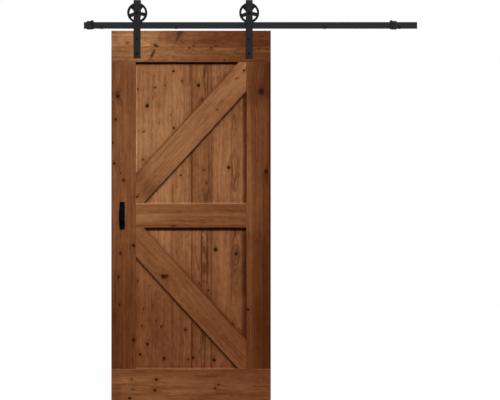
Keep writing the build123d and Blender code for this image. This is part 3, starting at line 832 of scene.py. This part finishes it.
brace_low, brace_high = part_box("upper_brace")
brace_run = brace_high.x - brace_low.x - 2 * BRACE_FOOT
brace_rise = brace_high.z - brace_low.z
lean = math.atan2(brace_run, brace_rise)
brace_slope = math.degrees(math.acos(BRACE_WIDTH / math.hypot(brace_run, brace_rise)) - lean)
print("brace slope", round(brace_slope, 2))
dress_board(
    "upper_brace", angle=brace_slope, levels=(0.87, 0.9), pith=(0.24, 0.1, 0), seed=71,
    knots=[(244.1, 70.5, 1), (236.5, 78.3, 0.8, 1, 0.8), (222.4, 101.2, 1.4, 1.3, 0.3),
           (217.3, 109.9, 0.8), (137.3, 196.8, 1), (213.5, 104.8, 0.7, 5, 0.25),
           (176.5, 139.5, 0.7, 8, 0.2)],
    patches=[(125, 180, 175, 200, 8, 0.7), (190.6, 121.6, 194.4, 125, 1.4, 1.2)],
    seams=BRACE_EDGE_SHADE, streaks=0.6, mottle=0.65, width=BRACE_WIDTH,
)
dress_board(
    "lower_brace", angle=-brace_slope, levels=(0.71, 0.5), pith=(0.24, 0.1, 0), seed=83,
    knots=[(163.3, 276.6, 2.4), (166.5, 276, 2, 1, 0.85)],
    seams=BRACE_EDGE_SHADE, streaks=0.6, mottle=0.6, width=BRACE_WIDTH,
)

# %% [markdown]
# ## Black hardware
# The track, straps and wheels are steel under black powder coat, which is matt and slightly pebbled.
# The pull is a deeper black. Fixings are oiled black steel, the bearings bright, and the bumpers rubber.
# Bolt heads on the straps are darker than the straps, as in the photograph, so they have their own black.
# A coat is noted as its colour, roughness, specular level, pebbles a metre and their depth, and the bare
# steel also as fully metallic.

# %% Coated metal
FINE_CHANGE, BROAD_CHANGE = 0.4, 0.5
FINE_SEED, BROAD_SEED = 1.0, 4.0
BROAD_CYCLES = 14
GLOSS_CHANGE = 0.2
PEBBLE_STRENGTH = 0.4
COATS = {
    "black_bar": ("black_powder_coat", (0.0150, 0.0172, 0.0192), 0.55, 0.12, 900, 0.00012),
    "black_strap": ("black_strap_coat", (0.0130, 0.0130, 0.0112), 0.55, 0.12, 900, 0.00012),
    "black_wheel": ("black_wheel_coat", (0.006, 0.0065, 0.007), 0.55, 0.12, 800, 0.00015),
    "black_fixing": ("black_oxide", (0.007, 0.007, 0.007), 0.45, 0.25, 1500, 0.00006),
    "black_bolt": ("black_bolt", (0.003, 0.003, 0.003), 0.5, 0.1, 1500, 0.00006),
    "pull_black": ("pull_black", (0.0008, 0.0016, 0.0028), 0.7, 0.03, 900, 0.0001),
    "stop_rubber": ("bumper_rubber", (0.011, 0.011, 0.012), 0.75, 0.15, 1200, 0.0001),
    "bright_steel": ("bright_steel", (0.55, 0.55, 0.56), 0.3, 0.5, 2500, 0.00003, 1.0),
}


def coated_metal(name, colour, roughness, specular, pebble, depth, metallic=0.0):
    """Paint or bare steel with a fine pebble, so many to the metre and so deep."""
    material, tree, shader = new_material(name)
    point = Value(add_node(tree, "TexCoord"), "Object")
    fine = noise(point, [pebble] * 3, FINE_SEED, detail=3)
    broad = noise(point, [BROAD_CYCLES] * 3, BROAD_SEED, detail=4)
    level = broad * BROAD_CHANGE + fine * FINE_CHANGE + 1.0
    feed(shader, {
        "Base Color": mix_colour(tree, 1.0, (*colour, 1), combine(tree, level, level, level), "MULTIPLY"),
        "Roughness": broad * GLOSS_CHANGE + roughness,
        "Specular IOR Level": specular,
        "Metallic": metallic,
        "Normal": relief(fine, PEBBLE_STRENGTH, depth),
    })
    return material


finishes = {slot: coated_metal(*coat) for slot, coat in COATS.items()}
print("finishes", list(finishes))

# %% Dress the hardware
for subpart in frame["record"]["subparts"]:
    if subpart["material_slot"] in finishes:
        dress(subpart["node"], finishes[subpart["material_slot"]])
        print(subpart["node"], subpart["material_slot"])
for name in ("left_hanger_strap", "right_hanger_strap"):
    dress(name, finishes["black_strap"])

# %% [markdown]
# ## Soft edges on the steel
# Bar that is cut, bent and powder coated has no razor edges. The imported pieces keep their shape, and four
# live modifiers on each round its edges by about half a millimetre. Weld joins the loose triangles,
# Decimate melts each flat face into one, Bevel finds the edges by their angle, and Weighted Normal keeps
# the flat faces flat. A Bevel alone would leave dark lines, because thin triangles end at its edges.

# %% Soft edges
MM = 0.001
MERGE_DISTANCE = 0.002 * MM
SOFT_EDGES = {
    "track_rail": 0.6, "left_hanger_strap": 0.7, "right_hanger_strap": 0.7, "wall_spacers": 0.5,
    "left_stop_clamp": 0.5, "right_stop_clamp": 0.5, "left_stop_bumper": 0.8, "right_stop_bumper": 0.8,
    "left_wheel": 0.7, "right_wheel": 0.7, "pull_handle": 1.2, "stop_screws": 0.25,
}
EDGE_ANGLE = math.radians(35)
FLAT_ANGLE = math.radians(0.5)
FLAT_WEIGHT = 100


def add_modifier(piece, name, kind, **settings):
    modifier = piece.modifiers.new(name, kind)
    for setting, value in settings.items():
        setattr(modifier, setting, value)


for name, width in SOFT_EDGES.items():
    piece = nodes[name]
    add_modifier(piece, "weld", "WELD", merge_threshold=MERGE_DISTANCE)
    add_modifier(piece, "flat_faces", "DECIMATE", decimate_type="DISSOLVE", angle_limit=FLAT_ANGLE)
    add_modifier(
        piece, "bevel", "BEVEL", width=width * MM, segments=2, limit_method="ANGLE", angle_limit=EDGE_ANGLE,
    )
    add_modifier(piece, "shading", "WEIGHTED_NORMAL", mode="FACE_AREA", weight=FLAT_WEIGHT)
print("softened", len(SOFT_EDGES))

# %% [markdown]
# ## A lathe
# Screws, bolts, nuts and bearings are turned or forged round an axis, so most of their form is one half
# section. It is drawn point by point with extruded vertices, in millimetres, and a Screw modifier turns it
# about Z. A subdivided cylinder could be shaped by hand, but the section is exact.

# %% Mesh helpers
SECTION_SIDES = 4


def apply_modifiers(piece):
    start_fresh(piece)
    for modifier in list(piece.modifiers):
        bpy.ops.object.modifier_apply(modifier=modifier.name)


def close_up(piece):
    """Merge doubles, cap the ends of a wound section and point all faces outwards."""
    start_fresh(piece)
    bpy.ops.object.mode_set(mode="EDIT")
    bpy.ops.mesh.select_all(action="SELECT")
    bpy.ops.mesh.remove_doubles(threshold=MERGE_DISTANCE)
    bpy.ops.mesh.fill_holes(sides=SECTION_SIDES)
    bpy.ops.mesh.select_all(action="SELECT")
    bpy.ops.mesh.normals_make_consistent(inside=False)
    bpy.ops.object.mode_set(mode="OBJECT")


def draw_in(piece, height, share):
    """Draw what lies below a height in towards the Z axis, to a share of its width."""
    for vertex in piece.data.vertices:
        vertex.select = vertex.co.z < height
    bpy.ops.object.mode_set(mode="EDIT")
    bpy.ops.transform.resize(value=(share, share, 1), center_override=(0, 0, 0))
    bpy.ops.object.mode_set(mode="OBJECT")


print("mesh helpers", [tool.__name__ for tool in (apply_modifiers, close_up, draw_in)])

# %% Lathe
TURN_STEPS = 28


def half_section(name, outline):
    """Edges through (radius, height) points beside the Z axis, closed unless both ends lie on the axis."""
    start_fresh()
    bpy.ops.mesh.primitive_plane_add(size=MM)
    piece = bpy.context.object
    piece.name = name
    points = [Vector((radius, 0, height)) * MM for radius, height in outline]
    bpy.ops.object.mode_set(mode="EDIT")
    bpy.ops.mesh.select_all(action="SELECT")
    bpy.ops.mesh.merge(type="CENTER")
    bpy.ops.transform.translate(value=points[0])
    for before, point in zip(points, points[1:]):
        bpy.ops.mesh.extrude_vertices_move(TRANSFORM_OT_translate={"value": point - before})
    bpy.ops.object.mode_set(mode="OBJECT")
    if outline[0][0] or outline[-1][0]:
        for vertex in piece.data.vertices:
            vertex.select = vertex.index in (0, len(points) - 1)
        bpy.ops.object.mode_set(mode="EDIT")
        bpy.ops.mesh.edge_face_add()
        bpy.ops.object.mode_set(mode="OBJECT")
    return piece


def turned(name, outline, steps=TURN_STEPS, pitch=0, turns=1):
    """A half section turned about the Z axis, or wound down it as a thread where a pitch is given."""
    piece = half_section(name, outline)
    add_modifier(
        piece, "lathe", "SCREW", steps=steps, render_steps=steps, iterations=turns,
        screw_offset=-pitch * MM, use_merge_vertices=not pitch, merge_threshold=MERGE_DISTANCE,
    )
    apply_modifiers(piece)
    close_up(piece)
    return piece


print("turning in", TURN_STEPS, "steps")

# %% [markdown]
# ## A hexagon tool and copies
# A hexagon head is a six-sided prism that is cut down to a turned form, which leaves the curved chamfer
# of a real head. Each finished piece is modelled once, upright at the origin, then turned to the front or
# the back of the door and copied, each copy with its own mesh and its place in that mesh.

# %% Hexagon
CHAMFER_STEPS = 48
PRISM_EXCESS = 2


def hexagon(name, across_flats, outline):
    """A hexagonal prism cut to a turned outline, with two of its corners on the X axis."""
    form = turned("chamfer_tool", outline, steps=CHAMFER_STEPS)
    heights = [height for radius, height in outline]
    top, bottom = max(heights), min(heights)
    start_fresh()
    bpy.ops.mesh.primitive_cylinder_add(
        vertices=6, radius=across_flats / math.sqrt(3) * MM, depth=(top - bottom + PRISM_EXCESS) * MM,
        location=(0, 0, (top + bottom) / 2 * MM), rotation=(0, 0, math.radians(90)),
    )
    piece = bpy.context.object
    piece.name = name
    bpy.ops.object.transform_apply(location=True, rotation=True, scale=True)
    add_modifier(piece, "chamfer", "BOOLEAN", operation="INTERSECT", object=form)
    apply_modifiers(piece)
    close_up(piece)
    bpy.data.objects.remove(form)
    return piece


print("chamfers in", CHAMFER_STEPS, "steps")

# %% Copies
SMOOTH_ANGLE = 32
FRONT_TURN, BACK_TURN = 90, -90


def unite(name, finish, *parts):
    """Join parts into one smooth-shaded piece with one finish."""
    start_fresh(*parts)
    bpy.ops.object.join()
    piece = bpy.context.object
    piece.name = name
    bpy.ops.object.shade_smooth_by_angle(angle=math.radians(SMOOTH_ANGLE))
    piece.data.materials.append(finishes[finish])
    return piece


def place_copies(piece, places, body, replaced=(), facing=FRONT_TURN):
    """Copies with their own meshes at places, turned so that their height runs to the front or the back."""
    start_fresh(piece)
    piece.rotation_euler = (math.radians(facing), 0, 0)
    bpy.ops.object.transform_apply(location=False, rotation=True, scale=False)
    stem = piece.name
    for number, place in enumerate(places, start=1):
        start_fresh(piece)
        bpy.ops.object.duplicate(linked=False)
        copy = bpy.context.object
        copy.name = f"{stem}_{number}"
        copy.location = place
        bpy.ops.object.transform_apply(location=True, rotation=False, scale=False)
        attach(copy, body)
        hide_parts(*replaced)
    print(stem, len(places), "faces each", len(piece.data.polygons))
    bpy.data.objects.remove(piece)


def middle(name):
    low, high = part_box(name)
    return (low + high) / 2


print("smooth under", SMOOTH_ANGLE, "degrees")

# %% [markdown]
# ## Lag screws
# Each holds the track through its spacer: a flange head in front, a plain shank, and a coarse wood thread
# with a point behind the wall line. The thread is one wound section, so its flanks really catch the light,
# and its last turns are drawn in towards the point.

# %% Lag screws
LAG_COUNT = 5
LAG_FLATS = 13
LAG_FLANGE_RADIUS = 9
LAG_BODY = [(0, 2.1), (6.4, 2.1), (8.2, 1.4), (8.8, 0.9), (LAG_FLANGE_RADIUS, 0.5), (8.8, 0),
            (4, 0), (4, -36), (3, -37.2), (2.9, -79), (0, -86)]
LAG_HEAD = [(0, 1.2), (8.5, 1.2), (8.5, 5.6), (6.2, 6.8), (4.8, 6.8), (4.3, 6.4), (0, 6.4)]
THREAD_START, THREAD_PITCH, THREAD_TURNS, THREAD_STEPS = -37.5, 3.4, 13, 16
THREAD_SECTION = [(2.7, 0), (4, -0.9), (4, -1.1), (2.7, -2), (2.7, 0)]
POINT_START, POINT_SHARE = -78, 0.6

lag_thread = turned(
    "lag_thread", [(radius, THREAD_START + height) for radius, height in THREAD_SECTION],
    steps=THREAD_STEPS, pitch=THREAD_PITCH, turns=THREAD_TURNS,
)
draw_in(lag_thread, POINT_START * MM, POINT_SHARE)
lag_screw = unite(
    "lag_screw", "black_fixing",
    turned("lag_body", LAG_BODY), hexagon("lag_head", LAG_FLATS, LAG_HEAD), lag_thread,
)

lag_low, lag_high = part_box("lag_screws")
track_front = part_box("track_rail")[0].y
first_x = lag_low.x + LAG_FLANGE_RADIUS * MM
lag_pitch = (lag_high.x - lag_low.x - 2 * LAG_FLANGE_RADIUS * MM) / (LAG_COUNT - 1)
lag_z = middle("lag_screws").z
lag_places = [(first_x + number * lag_pitch, track_front, lag_z) for number in range(LAG_COUNT)]
place_copies(lag_screw, lag_places, "track", ["lag_screws"])

# %% [markdown]
# ## Bolts and nuts of the hangers
# A hexagon bolt goes through each strap, the top rail and a plank to a flange nut at the back. Bolt and nut
# are drawn with the same two tools, with a washer face under the head and a chamfer at each end.

# %% Hanger bolts
HANGER_FLATS = 13
HANGER_SHANK = [(0, 0.8), (6.2, 0.8), (6.2, 0), (4, 0), (4, -47.4), (3.4, -48.1), (0, -48.1)]
HANGER_HEAD = [(0, 0.5), (8.5, 0.5), (8.5, 3.4), (6.2, 4.5), (4.6, 4.5), (4.2, 4.2), (0, 4.2)]
NUT_FLANGE = [(4.3, 0), (8.8, 0), (9, 0.4), (8.8, 0.9), (7.4, 1.6), (4.3, 1.6)]
NUT_BODY = [(4.3, 1.2), (8.5, 1.2), (8.5, 6), (6.2, 7.1), (4.9, 7.1), (4.3, 6.5)]

strap_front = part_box("left_hanger_strap")[0].y
strap_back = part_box("left_hanger_strap")[1].y
door_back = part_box("plank_1")[1].y
strap_xs = [middle(name).x for name in ("left_hanger_strap", "right_hanger_strap")]
bolt_low, bolt_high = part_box("hanger_bolts")
bolt_zs = (bolt_low.z + HANGER_FLATS / 2 * MM, bolt_high.z - HANGER_FLATS / 2 * MM)

hanger_bolt = unite(
    "hanger_bolt", "black_bolt",
    turned("hanger_shank", HANGER_SHANK), hexagon("hanger_head", HANGER_FLATS, HANGER_HEAD),
)
bolt_places = [(x, strap_front, z) for x in strap_xs for z in bolt_zs]
place_copies(hanger_bolt, bolt_places, "door", ["hanger_bolts"])

hanger_nut = unite(
    "hanger_nut", "black_fixing",
    turned("nut_flange", NUT_FLANGE), hexagon("nut_body", HANGER_FLATS, NUT_BODY),
)
nut_places = [(x, door_back, z) for x in strap_xs for z in bolt_zs]
place_copies(hanger_nut, nut_places, "door", ["hanger_nuts"], BACK_TURN)

# %% [markdown]
# ## Axles of the wheels
# A thicker bolt goes through both legs of each strap, and the wheel turns on it. Its nut sits behind the
# strap, above the door's top edge.

# %% Axles
AXLE_FLATS = 16
AXLE_SHANK = [(0, 0.9), (7.6, 0.9), (7.6, 0), (5, 0), (5, -46.2), (4.3, -47), (0, -47)]
AXLE_HEAD = [(0, 0.6), (10.2, 0.6), (10.2, 3.8), (7.6, 5), (5.8, 5), (5.3, 4.6), (0, 4.6)]
AXLE_NUT = [(5.1, 0), (7.6, 0), (10.2, 1.2), (10.2, 4.8), (7.6, 6), (5.7, 6), (5.1, 5.4)]

axle_z = middle("left_wheel").z
axle_bolt = unite(
    "axle_bolt", "black_bolt",
    turned("axle_shank", AXLE_SHANK), hexagon("axle_head", AXLE_FLATS, AXLE_HEAD),
)
axle_places = [(x, strap_front, axle_z) for x in strap_xs]
place_copies(axle_bolt, axle_places, "door", ["axle_bolts"])

axle_nut = unite("axle_nut", "black_fixing", hexagon("axle_nut_body", AXLE_FLATS, AXLE_NUT))
axle_nut_places = [(x, strap_back, axle_z) for x in strap_xs]
place_copies(axle_nut, axle_nut_places, "door", ["axle_nuts"], BACK_TURN)

# %% [markdown]
# ## Sealed bearings
# A ball bearing is pressed into each hub. Between its two bright races sits a black seal, a little below
# the faces, so the section has a shallow groove on each side and its floor takes the rubber finish.

# %% Bearings
SEAL_HEIGHT = 6.4
BEARING_HALF = [(8.58, 6.6), (9, 7), (10.2, 7), (10.4, SEAL_HEIGHT), (12.8, SEAL_HEIGHT), (13, 7),
                (14.6, 7), (15, 6.6)]
BEARING_STEPS = 40
SEAL_TOLERANCE = 0.05 * MM
LEVEL_FACE = 0.9

bearing_outline = [(radius, -height) for radius, height in BEARING_HALF] + BEARING_HALF[::-1]
bearing = unite("bearing", "bright_steel", turned("bearing_ring", bearing_outline, steps=BEARING_STEPS))
bearing.data.materials.append(finishes["stop_rubber"])
for polygon in bearing.data.polygons:
    at_seal = abs(abs(polygon.center.z) - SEAL_HEIGHT * MM) < SEAL_TOLERANCE
    if at_seal and abs(polygon.normal.z) > LEVEL_FACE:
        polygon.material_index = 1
for side in ("left", "right"):
    start_fresh(bearing)
    bpy.ops.object.duplicate(linked=False)
    side_bearing = bpy.context.object
    side_bearing.name = side + "_sealed_bearing"
    hub = middle(side + "_wheel")
    place_copies(side_bearing, [hub], side + "_roller", [side + "_bearing"])
bpy.data.objects.remove(bearing)

# %% [markdown]
# ## A cross-head screw
# The screws at the back have a turned dome for a head, with a cross cut in it. The cross is two tapered
# blades, taken out with Boolean modifiers. A painted cross would have no depth in a close view.

# %% Pull screws
BLADE = (0.75, 4.6)
BLADE_TAPER = 0.6
SCREW_STEPS = 20
PULL_SCREW = [(0, 3), (2, 3), (3.6, 2.6), (4.7, 1.6), (5, 0.6), (5, 0), (2.5, 0), (2.5, -39), (0, -39)]
PULL_RECESS = 1.6


def cross_head_screw(name, outline, depth):
    """A turned screw with a cross recess of this depth in its head."""
    screw = turned(name, outline, steps=SCREW_STEPS)
    head_top = outline[0][1] * MM
    blades = []
    for size in (BLADE, BLADE[::-1]):
        start_fresh()
        bpy.ops.mesh.primitive_cube_add(size=MM, location=(0, 0, head_top))
        blade = bpy.context.object
        blade.scale = (*size, 2 * depth)
        bpy.ops.object.transform_apply(location=True, rotation=True, scale=True)
        draw_in(blade, head_top, BLADE_TAPER)
        blades.append(blade)
    for blade in blades:
        add_modifier(screw, "recess", "BOOLEAN", operation="DIFFERENCE", object=blade)
    apply_modifiers(screw)
    for blade in blades:
        bpy.data.objects.remove(blade)
    return unite(name, "black_fixing", screw)


pull_screw = cross_head_screw("pull_screw", PULL_SCREW, PULL_RECESS)
pull_low, pull_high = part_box("pull_screws")
pull_head = (pull_high.x - pull_low.x) / 2
pull_x = middle("pull_screws").x
pull_places = [(pull_x, door_back, z) for z in (pull_low.z + pull_head, pull_high.z - pull_head)]
place_copies(pull_screw, pull_places, "door", ["pull_screws"], BACK_TURN)

# %% [markdown]
# ## Board screws
# They hold the frame to the planks from behind: two through each plank at the rails, one where a plank
# crosses a brace, and a row along each stile. One screw is made, and the rest are copies.

# %% Board screws
BOARD_SCREW = [(0, 1.5), (1.7, 1.5), (3.2, 1.2), (4.2, 0.6), (4.5, 0.2), (4.5, 0),
               (2, 0), (2, -30), (0, -30)]
BOARD_RECESS = 0.9
PAIR_SPREAD = 0.03
RAIL_SPREADS = {"top_rail": 0.07, "bottom_rail": 0.06, "middle_rail": 0.045}
INNER_PLANKS = (2, 3, 4, 5)
STILE_ROWS = (0.1, 0.25, 0.4, 0.6, 0.75, 0.9)

screw_places = []
for index in range(PLANK_COUNT):
    plank_x = middle(f"plank_{index + 1}").x
    for rail, spread in RAIL_SPREADS.items():
        if index in INNER_PLANKS or rail != "middle_rail":
            rail_z = middle(rail).z
            screw_places.append((plank_x - PAIR_SPREAD, door_back, rail_z - spread))
            screw_places.append((plank_x + PAIR_SPREAD, door_back, rail_z + spread))
    for brace, slant in (("upper_brace", 1), ("lower_brace", -1)):
        if index in INNER_PLANKS:
            low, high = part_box(brace)
            along = (plank_x - low.x) / (high.x - low.x) - 0.5
            screw_z = (low.z + high.z) / 2 + slant * along * (high.z - low.z)
            screw_places.append((plank_x, door_back, screw_z))
for stile, plank in (("left_stile", "plank_1"), ("right_stile", "plank_8")):
    low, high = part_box(stile)
    for share in STILE_ROWS:
        screw_places.append((middle(plank).x, door_back, low.z + share * (high.z - low.z)))

board_screw = cross_head_screw("board_screw", BOARD_SCREW, BOARD_RECESS)
place_copies(board_screw, screw_places, "door", facing=BACK_TURN)
